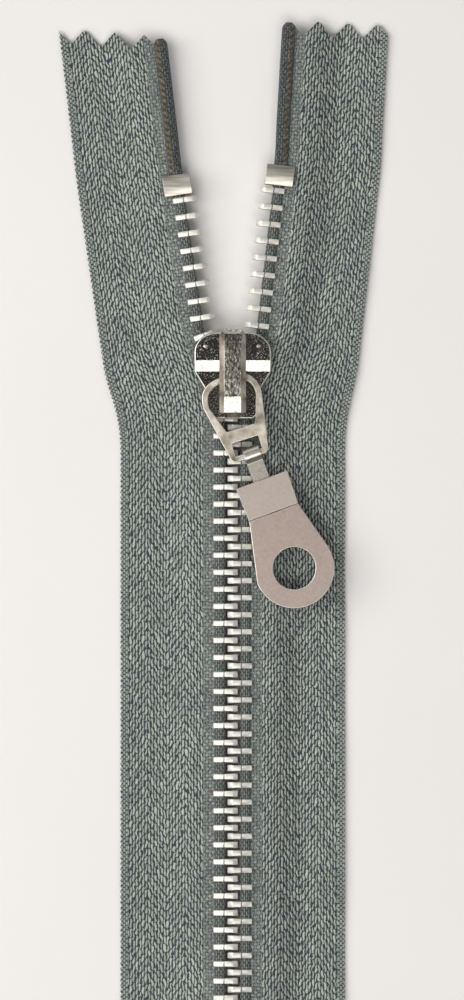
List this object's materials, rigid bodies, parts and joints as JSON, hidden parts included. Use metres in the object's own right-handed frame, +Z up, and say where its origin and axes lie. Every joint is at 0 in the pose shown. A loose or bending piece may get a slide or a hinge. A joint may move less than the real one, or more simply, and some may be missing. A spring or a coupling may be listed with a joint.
{
  "type": "zipper",
  "caption": "Closed-end metal zipper, partly open, with woven tapes, clamped teeth, a locking slider, and a pull with a round hole hung on a link.",
  "frame": {"origin": "middle of the slider's flat underside, under the centre line of the chain", "axes": "+Y along the chain towards the open end, +X to the right seen from above, +Z up, out of the face with the pull"},
  "size_m": [0.0478, 0.1934, 0.0084],
  "materials": {
    "tooth_metal": "satin, bright",
    "slider_nickel": "polished nickel plate",
    "pull_nickel": "satin nickel plate",
    "tape_cloth": "herringbone twill",
    "bead_cord": "braided cord"
  },
  "bodies": {
    "chain": {"left_tooth_row": "tooth_metal", "right_tooth_row": "tooth_metal", "left_tape": "tape_cloth", "right_tape": "tape_cloth", "bottom_stop": "slider_nickel"},
    "slider": {"slider_body": "slider_nickel", "slider_crown": "slider_nickel"},
    "lock": {"lock_spring": "slider_nickel"},
    "link": {"pull_link": "slider_nickel"},
    "pull": {"pull_strap": "pull_nickel", "pull_clamp": "pull_nickel", "pull_plate": "pull_nickel"},
    "left_mouth": {"left_mouth_bead": "bead_cord", "left_tooth_09": "tooth_metal", "left_tooth_10": "tooth_metal", "left_tooth_11": "tooth_metal", "left_tooth_12": "tooth_metal"},
    "left_leg": {"left_leg_tape": "tape_cloth", "left_leg_bead": "bead_cord", "left_tooth_05": "tooth_metal", "left_tooth_06": "tooth_metal", "left_tooth_07": "tooth_metal", "left_tooth_08": "tooth_metal"},
    "left_top": {"left_top_bead": "bead_cord", "left_tooth_01": "tooth_metal", "left_tooth_02": "tooth_metal", "left_tooth_03": "tooth_metal", "left_tooth_04": "tooth_metal"},
    "left_tail": {"left_tail_tape": "tape_cloth", "left_tail_bead": "bead_cord", "left_top_stop": "slider_nickel"},
    "right_mouth": {"right_mouth_bead": "bead_cord", "right_tooth_10": "tooth_metal", "right_tooth_11": "tooth_metal", "right_tooth_12": "tooth_metal"},
    "right_leg": {"right_leg_tape": "tape_cloth", "right_leg_bead": "bead_cord", "right_tooth_05": "tooth_metal", "right_tooth_06": "tooth_metal", "right_tooth_07": "tooth_metal", "right_tooth_08": "tooth_metal", "right_tooth_09": "tooth_metal"},
    "right_top": {"right_top_bead": "bead_cord", "right_tooth_01": "tooth_metal", "right_tooth_02": "tooth_metal", "right_tooth_03": "tooth_metal", "right_tooth_04": "tooth_metal"},
    "right_tail": {"right_tail_tape": "tape_cloth", "right_tail_bead": "bead_cord", "right_top_stop": "slider_nickel"}
  },
  "joints": [
    {"name": "slider_slide", "type": "slide", "parent": "chain", "child": "slider", "axis": [0, 1, 0], "range_m": [0, 0.02], "deforming": ["left_mouth_bead", "left_tooth_09", "left_tooth_10", "left_tooth_11", "left_tooth_12", "left_leg_tape", "left_leg_bead", "left_tooth_05", "left_tooth_06", "left_tooth_07", "left_tooth_08", "left_top_bead", "left_tooth_01", "left_tooth_02", "left_tooth_03", "left_tooth_04", "left_tail_tape", "left_tail_bead", "right_mouth_bead", "right_tooth_10", "right_tooth_11", "right_tooth_12", "right_leg_tape", "right_leg_bead", "right_tooth_05", "right_tooth_06", "right_tooth_07", "right_tooth_08", "right_tooth_09", "right_top_bead", "right_tooth_01", "right_tooth_02", "right_tooth_03", "right_tooth_04", "right_tail_tape", "right_tail_bead"]},
    {"name": "link_flip", "type": "hinge", "parent": "slider", "child": "link", "pos_m": [-0.001, -0.00048, 0.00585], "axis": [-0.9537, -0.3007, 0], "range_deg": [0, 115]},
    {"name": "pull_swing", "type": "hinge", "parent": "link", "child": "pull", "pos_m": [0.00283, -0.01147, 0.00585], "axis": [-0.9537, -0.3007, 0], "range_deg": [0, 60]},
    {"name": "lock_lift", "type": "slide", "parent": "slider", "child": "lock", "axis": [0, 0, 1], "range_m": [0, 0.00031]},
    {"name": "left_mouth_turn", "type": "hinge", "parent": "chain", "child": "left_mouth", "pos_m": [-0.00187, -0.00257, 0.0025], "axis": [0, 0, 1], "range_deg": [-19.21, 0]},
    {"name": "left_leg_turn", "type": "hinge", "parent": "chain", "child": "left_leg", "pos_m": [-0.00187, -0.0148, 0.0025], "axis": [0, 0, 1], "range_deg": [-8.31, 0]},
    {"name": "left_top_turn", "type": "hinge", "parent": "left_leg", "child": "left_top", "pos_m": [-0.00652, 0.01709, 0.0025], "axis": [0, 0, 1], "range_deg": [0, 19.21]},
    {"name": "left_tail_turn", "type": "hinge", "parent": "left_leg", "child": "left_tail", "pos_m": [-0.00476, 0.00499, 0.0025], "axis": [0, 0, 1], "range_deg": [0, 8.31]},
    {"name": "right_mouth_turn", "type": "hinge", "parent": "chain", "child": "right_mouth", "pos_m": [0.00187, -0.00133, 0.0025], "axis": [0, 0, 1], "range_deg": [0, 17.51]},
    {"name": "right_leg_turn", "type": "hinge", "parent": "chain", "child": "right_leg", "pos_m": [0.00187, -0.0148, 0.0025], "axis": [0, 0, 1], "range_deg": [0, 6.51]},
    {"name": "right_top_turn", "type": "hinge", "parent": "right_leg", "child": "right_top", "pos_m": [0.00566, 0.01845, 0.0025], "axis": [0, 0, 1], "range_deg": [-17.51, 0]},
    {"name": "right_tail_turn", "type": "hinge", "parent": "right_leg", "child": "right_tail", "pos_m": [0.00413, 0.00507, 0.0025], "axis": [0, 0, 1], "range_deg": [-6.51, 0]}
  ],
  "couplings": [
    {"joint": "lock_lift", "follows": "link_flip", "m_per_rad": 0.00014947},
    {"joint": "left_mouth_turn", "follows": "slider_slide", "rad_per_m": -16.755},
    {"joint": "left_leg_turn", "follows": "slider_slide", "rad_per_m": -7.2431},
    {"joint": "left_top_turn", "follows": "slider_slide", "rad_per_m": 16.755},
    {"joint": "left_tail_turn", "follows": "slider_slide", "rad_per_m": 7.2431},
    {"joint": "right_mouth_turn", "follows": "slider_slide", "rad_per_m": 15.272},
    {"joint": "right_leg_turn", "follows": "slider_slide", "rad_per_m": 5.6723},
    {"joint": "right_top_turn", "follows": "slider_slide", "rad_per_m": -15.272},
    {"joint": "right_tail_turn", "follows": "slider_slide", "rad_per_m": -5.6723}
  ]
}
